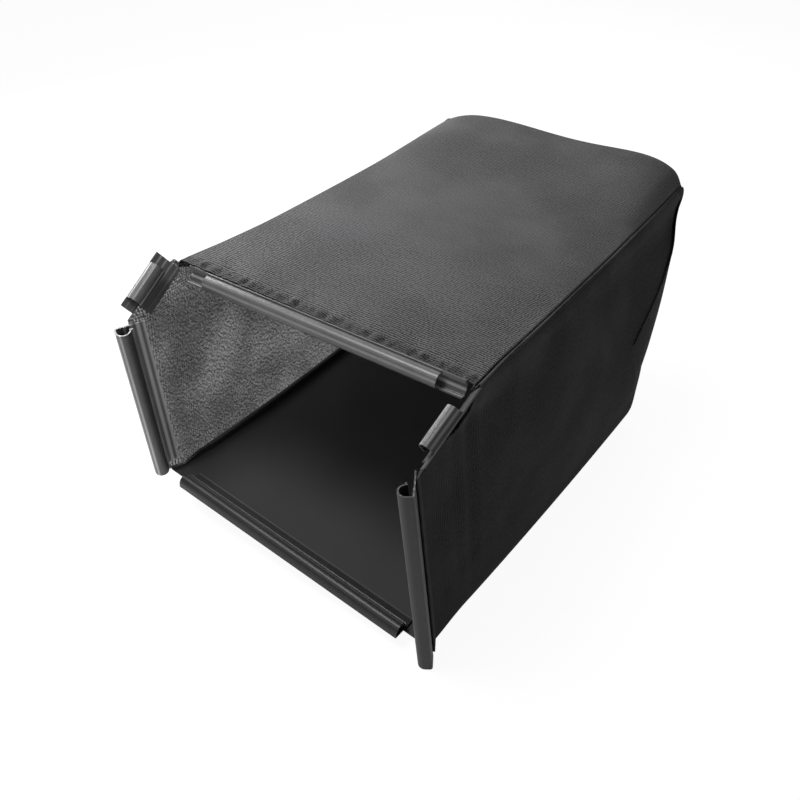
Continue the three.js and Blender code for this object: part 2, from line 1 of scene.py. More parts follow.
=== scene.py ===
"""Dresses the grass collection bag: woven cloth panels, sewn seams, stitching and plastic clips."""
import logging
import math
from dataclasses import dataclass, field
from enum import Enum
from typing import Any, Callable

import bpy
import numpy as np
from bpy.types import Material, Mesh, NodeSocket, NodeTree, Object
from mathutils import Matrix, Vector


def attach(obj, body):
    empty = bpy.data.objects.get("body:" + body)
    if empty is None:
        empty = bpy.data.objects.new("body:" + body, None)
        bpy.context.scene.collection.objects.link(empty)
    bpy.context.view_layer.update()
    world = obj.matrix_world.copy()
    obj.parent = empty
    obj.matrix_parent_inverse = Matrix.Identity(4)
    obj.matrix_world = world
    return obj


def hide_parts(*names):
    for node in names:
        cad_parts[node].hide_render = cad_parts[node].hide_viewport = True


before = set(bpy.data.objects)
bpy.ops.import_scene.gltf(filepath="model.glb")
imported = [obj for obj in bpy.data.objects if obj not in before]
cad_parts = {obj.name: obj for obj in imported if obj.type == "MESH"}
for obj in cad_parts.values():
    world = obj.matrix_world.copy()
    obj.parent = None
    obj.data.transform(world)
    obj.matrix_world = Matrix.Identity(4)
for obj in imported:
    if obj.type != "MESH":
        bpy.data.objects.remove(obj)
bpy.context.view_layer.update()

log = logging.getLogger("grass_bag")

MM = 0.001
Array = np.ndarray
Span = tuple[float, float]
Triple = tuple[float, float, float]

# Sizes of the bag in millimetres, as in the part's own source
MOUTH_WIDTH = 363.0
REAR_WIDTH = 379.0
BAG_LENGTH = 628.0
MOUTH_HEIGHT = 280.0
REAR_HEIGHT = 286.0
TOP_SETBACK = 70.0
FOLD_HEIGHT = 228.0
BOTTOM_SETBACK = 35.0
REAR_FOOT = 513.0
ORIGIN_SHIFT = np.array([-5.362, -299.059, 20.474])
HEM = (8.0, -14.0, 0.0)
TOP_CORNER_HEM = 0.35
REAR_TOP_RADIUS = 26.0
REAR_FOOT_RADIUS = 22.0
TOP_EDGE_DIP = 3.5
BOTTOM_EDGE_SAG = 7.0

# Steps round a seam's fold and a rounded edge, and the points that a folded-in allowance has
FOLD_STEPS = 6
EDGE_STEPS = 8
FOLD_POINTS = FOLD_STEPS + 3

# How far the rear wall leans back for each millimetre of height
REAR_SLANT = 0.4

# How the cloth settles, in millimetres
LEFT_HANG = 4.5
CORNER_MIDDLE = (150.0, 600.0, 285.0)
CORNER_SPREAD = (90.0, 100.0, 80.0)
CORNER_PUFF = (3.0, 3.0, 12.0)
SEAM_PULL = (4.0, 14.0)
REAR_PULL = 6.0

# How far behind the hem's front the first of its two stitch rows runs
STITCH_LINE = 15.0


class Side(Enum):
    """The two sides of the bag, seen from behind its mouth looking to the rear."""

    LEFT = -1
    RIGHT = 1


class Curve(Enum):
    """The stretches of a side's edge line, from the top of the mouth round the rear and back."""

    TOP_HEM = 0
    TOP = 1
    REAR_TOP = 2
    REAR = 3
    FOOT = 4
    BOTTOM = 5
    BOTTOM_HEM = 6


# How far each corner of the soft bag stands from where the sizes alone would put it
SETTLING: dict[Side, dict[str, Triple]] = {
    Side.LEFT: {
        "mouth_top": (-1, -2, -1),
        "mouth_fold": (6, 11, 3),
        "mouth_bottom": (0, 11, 8),
        "rear_top": (4, 0, -9),
        "rear_bottom": (0, 0, 0),
    },
    Side.RIGHT: {
        "mouth_top": (2, 2, 1),
        "mouth_fold": (-9, -5, 0),
        "mouth_bottom": (14, -10, -12),
        "rear_top": (-13, -2, -11),
        "rear_bottom": (21, -2, -9),
    },
}


def unit(v: Array) -> Array:
    """Returns v at length one."""
    return v / np.linalg.norm(v)


def smooth(value: float | Array, low: float = 0.0, high: float = 1.0) -> float | Array:
    """Eases from 0 at low to 1 at high.

    Args:
        value: The number or numbers to ease.
        low: Where the ease starts.
        high: Where it ends.

    Returns:
        A number or numbers from 0 to 1.
    """
    t = np.clip((np.asarray(value, dtype=float) - low) / (high - low), 0.0, 1.0)
    return t * t * (3 - 2 * t)


def between(value: Array, rise: Span, fall: Span) -> Array:
    """Eases from 0 to 1 over the rise and back to 0 over the fall."""
    return smooth(value, *rise) * (1 - smooth(value, *fall))


def mound(value: Array, middle: float, spread: float) -> Array:
    """Returns a smooth mound of height 1 at the middle."""
    return np.exp(-(((value - middle) / spread) ** 2))


@dataclass
class Corners:
    """Corner points of one side, settled as the soft bag stands."""

    side: Side

    def __post_init__(self) -> None:
        """Places every corner."""
        s = self.side.value
        self.hem = np.array([s * HEM[0], HEM[1], HEM[2]])
        self.throat_top = self._at(MOUTH_WIDTH, TOP_SETBACK, MOUTH_HEIGHT, "mouth_top")
        self.throat_fold = self._at(MOUTH_WIDTH, 0, FOLD_HEIGHT, "mouth_fold")
        self.throat_bottom = self._at(MOUTH_WIDTH, BOTTOM_SETBACK, 0, "mouth_bottom")
        upward = unit(self.throat_fold - self.throat_bottom)
        slant = unit(self.throat_top - self.throat_fold)
        ahead = unit(np.array([0.0, -slant[2], slant[1]]))
        upper_hem = np.array([s * HEM[0], 0, 0]) - ahead * HEM[1]
        mitre = (-HEM[1] - self.hem @ ahead) / (upward @ ahead)
        self.hem_top = self.throat_top + TOP_CORNER_HEM * upper_hem
        self.hem_fold = self.throat_fold + self.hem + upward * mitre
        self.hem_bottom = self.throat_bottom + self.hem
        self.rear_top = self._at(REAR_WIDTH, BAG_LENGTH, REAR_HEIGHT, "rear_top")
        self.rear_bottom = self._at(REAR_WIDTH, REAR_FOOT, 0, "rear_bottom")

    def _at(self, width: float, y: float, z: float, name: str) -> Array:
        """Returns the settled place of a corner, half a width from the middle."""
        return np.array([self.side.value * width / 2, y, z]) + np.array(SETTLING[self.side][name])


class EdgeLine:
    """The edge line of one side as seven curves."""

    def __init__(self, corners: Corners) -> None:
        """Builds the curves from the corners."""
        c = corners
        top_end = self._before(c.throat_top, c.rear_top, REAR_TOP_RADIUS)
        rear_start = self._before(c.rear_bottom, c.rear_top, REAR_TOP_RADIUS)
        rear_end = self._before(c.rear_top, c.rear_bottom, REAR_FOOT_RADIUS)
        foot_start = self._before(c.throat_bottom, c.rear_bottom, REAR_FOOT_RADIUS)
        dip = (c.throat_top + top_end) / 2 - [0, 0, 2 * TOP_EDGE_DIP]
        sag = (foot_start + c.throat_bottom) / 2 - [0, 0, 2 * BOTTOM_EDGE_SAG]
        self.curves = [
            (c.hem_top, c.throat_top),
            (c.throat_top, dip, top_end),
            (top_end, c.rear_top, rear_start),
            (rear_start, rear_end),
            (rear_end, c.rear_bottom, foot_start),
            (foot_start, sag, c.throat_bottom),
            (c.throat_bottom, c.hem_bottom),
        ]

    @staticmethod
    def _before(start: Array, end: Array, distance: float) -> Array:
        """Returns the point that lies a distance before end on the way from start."""
        return end - unit(end - start) * distance

    def point(self, curve: Curve, t: float) -> Array:
        """Returns the point at share t of a curve."""
        p = self.curves[curve.value]
        if len(p) == 2:
            return p[0] * (1 - t) + p[1] * t
        return p[0] * (1 - t) ** 2 + p[1] * 2 * t * (1 - t) + p[2] * t * t

    def tangent(self, curve: Curve, t: float) -> Array:
        """Returns the unit direction at share t of a curve."""
        p = self.curves[curve.value]
        if len(p) == 2:
            return unit(p[1] - p[0])
        return unit((p[1] - p[0]) * (1 - t) + (p[2] - p[1]) * t)


@dataclass
class Edge:
    """A side's edge at one station: its point, directions, rounding and seam allowance."""

    point: Array
    to_middle: Array
    inward: Array
    square: Array
    width: float
    depth: float
    allowance: float

    def place(self, lateral: float, depth: float) -> Array:
        """Returns the point at a distance towards the middle of the wrap and a depth into the bag."""
        return self.point + self.to_middle * lateral + self.inward * depth


@dataclass
class BagForm:
    """The whole surface of the bag, from which each panel takes its rows of points."""

    fabric: float = 1.2
    edge_width: float = 5.0
    edge_depth: float = 20.0
    mouth_edge_width: float = 3.0
    mouth_edge_depth: float = 4.0
    edge_run: float = 60.0
    seam_fold: float = 2.4
    seam_gap: float = 0.8
    seam_allowance: float = 10.0
    hem_allowance: float = 4.0
    allowance_run: float = 30.0
    side_swell: float = 13.0
    rear_swell: float = 20.0
    crown_fullness: float = 6.0
    top_swell: float = 3.0
    bottom_swell: float = 2.0
    side_middle_setback: float = 130.0

    # How the rows crowd towards the mouth, and where the swells of the sides and the rear begin and end
    crowding: float = 1.25
    side_rows: int = 9
    side_crowding: float = 1.4
    side_swell_start: float = 0.5
    side_swell_rows: float = 5.0
    rear_swell_start: float = 0.6
    corners: dict[Side, Corners] = field(default_factory=lambda: {s: Corners(s) for s in Side})

    def __post_init__(self) -> None:
        """Builds the edge lines of both sides."""
        self.lines = {s: EdgeLine(c) for s, c in self.corners.items()}

    def run_behind_throat(self, side: Side, curve: Curve, point: Array) -> float:
        """Returns how far a point of the edge line is behind the throat."""
        if curve in (Curve.TOP_HEM, Curve.BOTTOM_HEM):
            return 0.0
        return float(np.linalg.norm(point - self.near_throat(side, curve)))

    def near_throat(self, side: Side, curve: Curve) -> Array:
        """Returns the throat corner that a curve belongs to."""
        c = self.corners[side]
        return c.throat_top if curve.value <= Curve.REAR_TOP.value else c.throat_bottom

    def edge(self, side: Side, curve: Curve, t: float) -> Edge:
        """Works out the edge of a side at a station.

        Args:
            side: Which side.
            curve: The stretch of its edge line.
            t: The share along that stretch.

        Returns:
            The edge with its directions and sizes.
        """
        left = self.lines[Side.LEFT].point(curve, t)
        right = self.lines[Side.RIGHT].point(curve, t)
        across = unit(right - left)
        tangent = self.lines[Side.LEFT].tangent(curve, t) + self.lines[Side.RIGHT].tangent(curve, t)
        square = -unit(np.cross(across, tangent))
        point = left if side is Side.LEFT else right
        run = self.run_behind_throat(side, curve, point)
        inward = square
        if not Curve.TOP.value < curve.value < Curve.BOTTOM.value:
            lean = self.corners[side].throat_fold - self.near_throat(side, curve)
            lean = lean / np.dot(lean, square)
            share = smooth(run / (2 * self.edge_run))
            inward = lean * (1 - share) + square * share
        grown = smooth(run / self.edge_run)
        return Edge(
            point=point,
            to_middle=across * (1 if side is Side.LEFT else -1),
            inward=inward,
            square=square,
            width=self.mouth_edge_width + (self.edge_width - self.mouth_edge_width) * grown,
            depth=self.mouth_edge_depth + (self.edge_depth - self.mouth_edge_depth) * grown,
            allowance=self.hem_allowance
            + (self.seam_allowance - self.hem_allowance) * smooth(run / self.allowance_run),
        )

    def seam_fold_points(self, edge: Edge, seam: float, sense: int) -> list[Array]:
        """Returns the turned-in allowance and its fold, from the raw edge out to the panel's face."""
        middle = (edge.allowance + self.seam_fold) / 2
        points = [edge.place(seam, depth) for depth in (edge.allowance, middle)]
        for step in range(FOLD_STEPS + 1):
            a = math.pi / 2 * step / FOLD_STEPS
            lateral = seam - sense * self.seam_fold * (1 - math.cos(a))
            points.append(edge.place(lateral, self.seam_fold * (1 - math.sin(a))))
        return points

    def spine_point(self, side: Side, curve: Curve, t: float) -> tuple[Array, float]:
        """Returns the side panel's middle-line point that a station leads to, and its swell."""
        c = self.corners[side]
        end = (c.rear_top + c.rear_bottom) / 2 - [0, self.side_middle_setback, 0]
        if curve is Curve.TOP_HEM:
            return c.hem_fold * (1 - t) + c.throat_fold * t, 0.0
        if curve is Curve.BOTTOM_HEM:
            return c.throat_fold * (1 - t) + c.hem_fold * t, 0.0
        share = {Curve.TOP: t, Curve.BOTTOM: 1 - t}.get(curve, 1.0)
        row = self.side_rows * share ** (1 / self.side_crowding)
        swell = self.side_swell * smooth((row - self.side_swell_start) / self.side_swell_rows)
        return c.throat_fold * (1 - share) + end * share, float(swell)

    def side_row(self, side: Side, curve: Curve, t: float, reaches: Array) -> Array:
        """Returns one row of a side panel, from its raw edge to its middle line.

        Args:
            side: Which side.
            curve: The stretch of the edge line.
            t: The share along it.
            reaches: Shares of the way from the rounded edge to the middle line.

        Returns:
            Points of the row, one below another.
        """
        edge = self.edge(side, curve, t)
        row = self.seam_fold_points(edge, edge.width + self.seam_fold, 1)
        for step in range(1, EDGE_STEPS + 1):
            a = math.pi / 2 * step / EDGE_STEPS
            row.append(edge.place(edge.width * (1 - math.sin(a)), edge.depth * (1 - math.cos(a))))
        start = row[-1]
        spine, swell = self.spine_point(side, curve, t)
        outward = np.array([side.value, 0.0, 0.0])
        for reach in reaches:
            bulge = outward * swell * math.sin(reach * math.pi / 2)
            row.append(start * (1 - reach) + spine * reach + bulge)
        return np.array(row)

    def wrap_swell(self, curve: Curve, t: float) -> float:
        """Returns the height of the wrap's crown at a station."""
        if curve is Curve.TOP:
            rise = float(smooth((t - self.rear_swell_start) / (1 - self.rear_swell_start)))
            return self.top_swell * math.sin(math.pi * t) + self.rear_swell * rise
        if curve is Curve.REAR_TOP:
            return self.rear_swell
        if curve is Curve.REAR:
            return self.rear_swell * (1 - float(smooth(t)))
        if curve is Curve.BOTTOM:
            return self.bottom_swell * math.sin(math.pi * t)
        return 0.0

    def wrap_row(self, curve: Curve, t: float, shares: Array) -> Array:
        """Returns one row of the cloth that runs round the bag, from the left raw edge to the right."""
        l = self.edge(Side.LEFT, curve, t)
        r = self.edge(Side.RIGHT, curve, t)
        seam_l, seam_r = (e.width + self.seam_fold + self.seam_gap for e in (l, r))
        start = l.place(seam_l + self.seam_fold, 0)
        end = r.place(seam_r + self.seam_fold, 0)
        crown = self.wrap_swell(curve, t) * (1 - np.abs(2 * shares - 1) ** self.crown_fullness)
        middle = start + (end - start) * shares[:, None] - l.square * crown[:, None]
        left = self.seam_fold_points(l, seam_l, -1)
        right = self.seam_fold_points(r, seam_r, -1)[::-1]
        return np.array([*left, *middle, *right])

    def stations(self, counts: dict[Curve, int]) -> list[tuple[Curve, float]]:
        """Returns stations along the curves that counts names, with that many steps on each."""
        made: list[tuple[Curve, float]] = []
        for curve, steps in counts.items():
            for step in range(steps):
                share = step / steps
                if curve is Curve.TOP:
                    share = share**self.crowding
                if curve is Curve.BOTTOM:
                    share = 1 - (1 - share) ** self.crowding
                made.append((curve, share))
        made.append((list(counts)[-1], 1.0))
        return made


def deselect() -> None:
    """Leaves nothing selected."""
    bpy.ops.object.select_all(action="DESELECT")


def activate(obj: Object) -> None:
    """Makes obj the only selected and the active object."""
    deselect()
    obj.select_set(True)
    bpy.context.view_layer.objects.active = obj


def finish_modifier(obj: Object, kind: str, **settings: Any) -> None:
    """Adds a modifier with its settings and applies it.

    Args:
        obj: The piece.
        kind: The modifier's type.
        **settings: Its properties.
    """
    activate(obj)
    bpy.ops.object.modifier_add(type=kind)
    modifier = obj.modifiers[-1]
    for name, value in settings.items():
        setattr(modifier, name, value)
    bpy.ops.object.modifier_apply(modifier=modifier.name)


def read(data: Any, name: str, width: int = 1, kind: type = float) -> Array:
    """Reads one property of a mesh's points, corners or faces.

    Args:
        data: The points, corners or faces.
        name: The property.
        width: How many numbers it has.
        kind: Their type.

    Returns:
        One row for each, or one number for each where the width is 1.
    """
    flat = np.empty(len(data) * width, dtype=kind)
    data.foreach_get(name, flat)
    return flat.reshape(-1, width) if width > 1 else flat


def weld(obj: Object, threshold: float) -> None:
    """Joins points closer than the threshold and turns all faces the same way."""
    activate(obj)
    bpy.ops.object.mode_set(mode="EDIT")
    bpy.ops.mesh.select_all(action="SELECT")
    bpy.ops.mesh.remove_doubles(threshold=threshold)
    bpy.ops.mesh.normals_make_consistent(inside=False)
    bpy.ops.object.mode_set(mode="OBJECT")


def dress(obj: Object, material: Material) -> None:
    """Gives obj one finish in place of what it had."""
    obj.data.materials.clear()
    obj.data.materials.append(material)
    log.info("%s: %d faces", obj.name, len(obj.data.polygons))


def settled(points: Array) -> Array:
    """Lets cloth hang lower along the top's left edge and rounds its rear right corner over the seam.

    Args:
        points: Places in millimetres, in any shape that ends in 3.

    Returns:
        The places after the bag has settled.
    """
    x, y, z = points[..., 0], points[..., 1], points[..., 2]
    left = smooth(-x, -60, 170) * smooth(z, 150, 270) * between(y, (60, 220), (400, 600))
    corner = math.prod(mound(points[..., k], CORNER_MIDDLE[k], CORNER_SPREAD[k]) for k in range(3))
    seam = smooth(x, 150, 188) * smooth(y, 440, 600) * smooth(z, 120, 280)
    behind = smooth(y - REAR_SLANT * z, 465, 508)
    rear = smooth(x, 150, 186) * behind * between(z, (40, 110), (225, 285))
    moved = points.copy()
    moved[..., 0] += CORNER_PUFF[0] * corner - SEAM_PULL[0] * seam - REAR_PULL * rear
    moved[..., 1] += CORNER_PUFF[1] * corner
    moved[..., 2] += CORNER_PUFF[2] * corner - SEAM_PULL[1] * seam - LEFT_HANG * left
    return moved


def cloth_sheet(name: str, points: Array, uv: Array, outward: Array, thickness: float) -> Object:
    """Shapes a subdivided plane into a sheet of cloth and gives it its thickness.

    Args:
        name: The piece's name.
        points: Rows by columns by 3 places in millimetres.
        uv: Rows by columns by 2 places on the flat cloth in millimetres.
        outward: Roughly the way that the cloth's face looks at its middle.
        thickness: The cloth's thickness in millimetres, taken inward.

    Returns:
        The finished object at the origin.
    """
    rows, columns = points.shape[:2]
    deselect()
    bpy.ops.mesh.primitive_grid_add(
        x_subdivisions=columns - 1, y_subdivisions=rows - 1, size=1, calc_uvs=True
    )
    obj = bpy.context.object
    obj.name = obj.data.name = name
    mesh = obj.data
    flat = read(mesh.vertices, "co", 3)
    column = np.rint((flat[:, 0] + 0.5) * (columns - 1)).astype(int)
    row = np.rint((flat[:, 1] + 0.5) * (rows - 1)).astype(int)
    points = settled(points)
    placed = (points[row, column] + ORIGIN_SHIFT) * MM
    mesh.vertices.foreach_set("co", placed.ravel())
    corner = read(mesh.loops, "vertex_index", 1, int)
    mesh.uv_layers.active.data.foreach_set("uv", (uv[row[corner], column[corner]] * MM).ravel())
    mesh.update()
    weld(obj, 2e-5)
    middle = (points[rows // 2, columns // 2] + ORIGIN_SHIFT) * MM
    nearest = np.argsort(np.linalg.norm(read(mesh.polygons, "center", 3) - middle, axis=1))[:20]
    if read(mesh.polygons, "normal", 3)[nearest].mean(axis=0) @ outward < 0:
        mesh.flip_normals()
    finish_modifier(obj, "SOLIDIFY", thickness=thickness * MM, offset=-1.0)
    activate(obj)
    bpy.ops.object.shade_smooth_by_angle(angle=math.radians(50))
    return obj


def arc_lengths(points: Array, axis: int) -> Array:
    """Returns distances along one axis of a grid of points, from its first row or column."""
    steps = np.linalg.norm(np.diff(points, axis=axis), axis=2)
    total = np.cumsum(steps, axis=axis)
    pad = [(0, 0), (0, 0)]
    pad[axis] = (1, 0)
    return np.pad(total, pad)


def operation(kind: str, swapped: bool = False) -> Callable[..., "Value"]:
    """Makes a method of Value that adds one Math node.

    Args:
        kind: What the node does.
        swapped: Whether the method's own number comes last.

    Returns:
        The method.
    """

    def method(self: "Value", *others: Any) -> "Value":
        """Adds the node and returns its result."""
        inputs = (*others, self) if swapped else (self, *others)
        return self.nodes.add("ShaderNodeMath", {"operation": kind}, dict(enumerate(inputs)))

    return method


class Value:
    """A number that varies over a surface, which Python's operators turn into Math nodes."""

    __add__ = __radd__ = operation("ADD")
    __sub__ = operation("SUBTRACT")
    __rsub__ = operation("SUBTRACT", swapped=True)
    __mul__ = __rmul__ = operation("MULTIPLY")
    sine = operation("SINE")
    most = operation("MAXIMUM")

    def __init__(self, nodes: "Nodes", socket: NodeSocket) -> None:
        """Wraps a socket."""
        self.nodes = nodes
        self.socket = socket

    def eased(self, low: float, high: float) -> "Value":
        """Returns 0 below low, 1 above high and an ease between."""
        return self.nodes.add(
            "ShaderNodeMapRange",
            {"interpolation_type": "SMOOTHSTEP"},
            {"Value": self, "From Min": low, "From Max": high},
        )


class Nodes:
    """Builds the node tree of one material."""

    def __init__(self, name: str) -> None:
        """Starts a material that has only its shader."""
        self.material = bpy.data.materials.new(name)
        self.material.use_nodes = True
        self.tree = self.material.node_tree
        self.shader = self.tree.nodes["Principled BSDF"]

    def add(
        self, kind: str, settings: dict[str, Any], inputs: dict[Any, Any], output: int | str = 0
    ) -> Value:
        """Adds one node.

        Args:
            kind: The node's type.
            settings: Its properties, set before its sockets.
            inputs: Values or links by the socket's name or place.
            output: Which output to return.

        Returns:
            The chosen output.
        """
        node = self.tree.nodes.new(kind)
        for name, value in settings.items():
            setattr(node, name, value)
        for key, value in inputs.items():
            self.feed(node.inputs[key], value)
        return Value(self, node.outputs[output])

    def feed(self, socket: NodeSocket, value: Any) -> None:
        """Links a Value to a socket, or sets a constant on it."""
        if isinstance(value, Value):
            self.tree.links.new(value.socket, socket)
        else:
            socket.default_value = value

    def axes(self, source: str) -> tuple[Value, Value, Value]:
        """Returns the three numbers of a coordinate source, Object or UV."""
        coordinates = self.add("ShaderNodeTexCoord", {}, {}, source)
        node = self.tree.nodes.new("ShaderNodeSeparateXYZ")
        self.feed(node.inputs[0], coordinates)
        return tuple(Value(self, node.outputs[k]) for k in range(3))

    def noise(
        self, scale: float, detail: float = 2.0, source: str = "Object", stretch: tuple = (1, 1, 1)
    ) -> Value:
        """Returns smooth noise from 0 to 1 at a scale per metre, stretched along each axis."""
        coordinates = self.add("ShaderNodeTexCoord", {}, {}, source)
        mapped = self.add("ShaderNodeMapping", {}, {"Vector": coordinates, "Scale": stretch})
        return self.add("ShaderNodeTexNoise", {}, {"Vector": mapped, "Scale": scale, "Detail": detail})

    def threads(self, place: Value, pitch: float) -> Value:
        """Returns a wave from -1 to 1 along a place, with a pitch in millimetres."""
        return (place * (math.tau / (pitch * MM))).sine()

    def colour(self, factor: Value, dark: tuple, light: tuple) -> Value:
        """Returns a colour between two by factor."""
        return self.add(
            "ShaderNodeMix",
            {"data_type": "RGBA", "clamp_factor": True},
            {0: factor, 6: (*dark, 1.0), 7: (*light, 1.0)},
            2,
        )

    def bump(self, height: Value, strength: float, distance: float) -> None:
        """Feeds a height pattern to the shader's normal."""
        inputs = {"Height": height, "Strength": strength, "Distance": distance}
        normal = self.add("ShaderNodeBump", {}, inputs)
        self.feed(self.shader.inputs["Normal"], normal)

    def finish(self, colour: Any, roughness: Any, specular: float = 0.5) -> Material:
        """Sets the shader's colour, roughness and specular level and returns the material."""
        self.feed(self.shader.inputs["Base Color"], colour)
        self.feed(self.shader.inputs["Roughness"], roughness)
        self.shader.inputs["Specular IOR Level"].default_value = specular
        return self.material


@dataclass(frozen=True)
class Finish:
    """What every finish has: a name, its darkest and lightest colours and its roughness."""

    name: str
    dark: Triple
    light: Triple
    roughness: float = 0.8


@dataclass(frozen=True)
class WovenCloth(Finish):
    """A woven cloth whose threads cross along the cloth's own two ways.

    The weave's pitches, the bands and their places are in millimetres. The mottle, the slub and the rib
    are shares of the tone, the specks are so many to a metre, and the openness is the share of holes.
    """

    roughness: float = 0.85
    pitch: Span = (1.6, 1.6)
    bump: float = 0.5
    mottle: float = 0.1
    slub: float = 0.2
    rib: float = 0.5
    speck: float = 600.0
    contrast: float = 1.0
    front_band: float = 0.0
    hem_band: float = 0.0
    roll_light_band: Span | None = None
    openness: float = 0.0

    # How much of the contrast is gone behind the front band, of the tone in the hem, and how much more tone
    # the roll takes as painted light
    front_fade: float = 0.55
    hem_shade: float = 0.5
    roll_painted_light: float = 2.2

    def make(self) -> Material:
        """Builds the material on the cloth's own flat coordinates."""
        n = Nodes(self.name)
        u, v, _ = n.axes("UV")
        over = n.threads(u, self.pitch[0]) * 0.5 + 0.5
        under = n.threads(v, self.pitch[1]) * 0.5 + 0.5
        weave = under * self.rib + over * (1 - self.rib)
        specks = n.noise(self.speck, 1.0, "UV", (1.0, 0.5, 1.0)).eased(0.35, 0.65)
        cloudy = n.noise(11.0, 3.0).eased(0.3, 0.7)
        relief = weave * (1 - self.slub) + specks * self.slub
        depth = self.contrast
        if self.front_band:
            behind = v.eased(0.4 * self.front_band * MM, self.front_band * MM)
            depth = (1 - behind * self.front_fade) * self.contrast
        tone = (relief - 0.5) * depth + 0.5 + (cloudy - 0.5) * self.mottle
        if self.hem_band:
            past_hem = v.eased(0.6 * self.hem_band * MM, 1.1 * self.hem_band * MM)
            tone = tone * (past_hem * self.hem_shade + (1 - self.hem_shade))
        # Painted light: the band of the roll under the top's seam is made lighter, for light falling on it
        if self.roll_light_band:
            low, high = (z * MM for z in self.roll_light_band)
            middle = (low + high) / 2
            painted_roll_light = v.eased(low, middle) * (1 - v.eased(middle, high)) * cloudy
            tone = tone * (painted_roll_light * self.roll_painted_light + 1)
        n.bump(relief, self.bump, 0.5 * MM)
        if self.openness:
            holes = (1 - relief) * (0.8 + cloudy * 0.4) * (2 * self.openness)
            n.feed(n.shader.inputs["Alpha"], (1 - holes).most(0.0))
        return n.finish(n.colour(tone, self.dark, self.light), self.roughness, 0.3)


@dataclass(frozen=True)
class CoatedCloth(Finish):
    """A smooth coated cloth."""

    roughness: float = 0.6
    grain: float = 0.9

    def make(self) -> Material:
        """Builds the material."""
        n = Nodes(self.name)
        u, v, _ = n.axes("UV")
        grain = n.threads(u, self.grain) * n.threads(v, self.grain) * 0.5 + 0.5
        cloudy = n.noise(9.0, 3.0)
        n.bump(grain * 0.3 + n.noise(60.0, 2.0) * 0.7, 0.12, 0.4 * MM)
        tone = cloudy * 0.8 + grain * 0.2
        return n.finish(n.colour(tone, self.dark, self.light), self.roughness + cloudy * 0.1, 0.4)


@dataclass(frozen=True)
class ExtrudedPlastic(Finish):
    """Satin plastic whose light lines run the way it was extruded, placed by its flat coordinates: partly
    fine extrusion rib lines, partly painted highlights along the clip's edges.
    """

    roughness: float = 0.3
    ribs_and_highlights: Span = (7.0, 5.0)

    def make(self) -> Material:
        """Builds the material."""
        n = Nodes(self.name)
        across, through, _ = n.axes("UV")
        lines = n.threads(across, self.ribs_and_highlights[0]) + n.threads(through, self.ribs_and_highlights[1])
        fine = n.noise(260.0, 3.0)
        cloudy = n.noise(25.0, 2.0)
        # Light lines across the strip: partly extrusion rib lines, partly painted highlights along the
        # clip's edges
        ribs_and_highlights = (lines * 0.25 + 0.5).eased(0.5, 0.95)
        n.bump(ribs_and_highlights + fine * 0.1, 0.35, 0.5 * MM)
        tone = ribs_and_highlights * 0.8 + fine * 0.08 + cloudy * 0.12
        return n.finish(n.colour(tone, self.dark, self.light), self.roughness + fine * 0.12, 0.5)


@dataclass(frozen=True)
class Plain(Finish):
    """One plain finish with a little unevenness."""

    def make(self) -> Material:
        """Builds the material."""
        n = Nodes(self.name)
        tone = n.noise(400.0, 2.0)
        n.bump(tone, 0.3, 0.2 * MM)
        return n.finish(n.colour(tone, self.dark, self.light), self.roughness, 0.3)


BLACK = (0.0, 0.0, 0.0)
TOP_CLOTH = WovenCloth(
    "woven_top_cloth", BLACK, (0.107, 0.107, 0.11), pitch=(3.4, 3.2), rib=0.85, slub=0.3, mottle=0.18,
    bump=1.0, contrast=1.6, front_band=260.0, hem_band=14.0,
)
# The two side panels are one mesh cloth: the left one takes a lighter copy as painted light, for its inside
# lit through the open weave
LIT_SIDE_MESH = WovenCloth(
    "woven_side_mesh_painted_light", BLACK, (0.1, 0.1, 0.103), pitch=(3.0, 2.9), speck=640.0, slub=0.42, mottle=0.3,
    bump=0.12, contrast=2.0, openness=0.3,
)
# The right side takes a darker copy of the same mesh as painted shade, with a lighter band painted as light
# where its roll under the top's seam catches it
SHADED_SIDE_MESH = WovenCloth(
    "woven_side_mesh_painted_shade", BLACK, (0.034, 0.034, 0.036), pitch=(3.3, 3.1), slub=0.3, mottle=0.5,
    contrast=1.3, roll_light_band=(235.0, 279.0),
)
BOTTOM_CLOTH = CoatedCloth("coated_bottom_cloth", (0.042, 0.042, 0.043), (0.062, 0.062, 0.064))
# Two copies of one plastic: the lighter one is painted light for the lit left and top clips, the darker one
# is painted shade for the right and bottom clips
LIT_CLIP_PLASTIC = ExtrudedPlastic("extruded_plastic_painted_light", (0.045, 0.045, 0.046), (0.5, 0.5, 0.51))
SHADED_CLIP_PLASTIC = ExtrudedPlastic("extruded_plastic", (0.009, 0.009, 0.01), (0.1, 0.1, 0.103), 0.42)
TAPE = Plain("seam_tape", (0.04, 0.04, 0.041), (0.1, 0.1, 0.103))
THREAD = Plain("sewing_thread", (0.04, 0.04, 0.042), (0.09, 0.09, 0.095))


def register(obj: Object, material: Material, slot: str, *nodes: str) -> None:
    """Dresses a piece, rides it on the bag and hides the nodes that it stands for.

    Args:
        obj: The piece.
        material: Its finish.
        slot: The record's material slot, which is not used.
        *nodes: The nodes that it replaces.
    """
    dress(obj, material)
    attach(obj, "root")
    if nodes:
        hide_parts(*nodes)


def ripples(x: Array, seed: int, pitch: float, octaves: int = 3) -> Array:
    """Returns a smooth wandering line of heights within about 1 either way.

    Args:
        x: Places along the line in millimetres.
        seed: Which line.
        pitch: The longest wave in millimetres.
        octaves: How many ever shorter waves it adds.

    Returns:
        One height per place.
    """
    rng = np.random.default_rng(seed)
    total = np.zeros_like(x, dtype=float)
    for k in range(octaves):
        for _ in range(3):
            wave = pitch / 1.9**k * rng.uniform(0.75, 1.3)
            total += np.sin(x * math.tau / wave + rng.uniform(0, math.tau)) * 0.45 / 1.7**k
    return total / 1.6


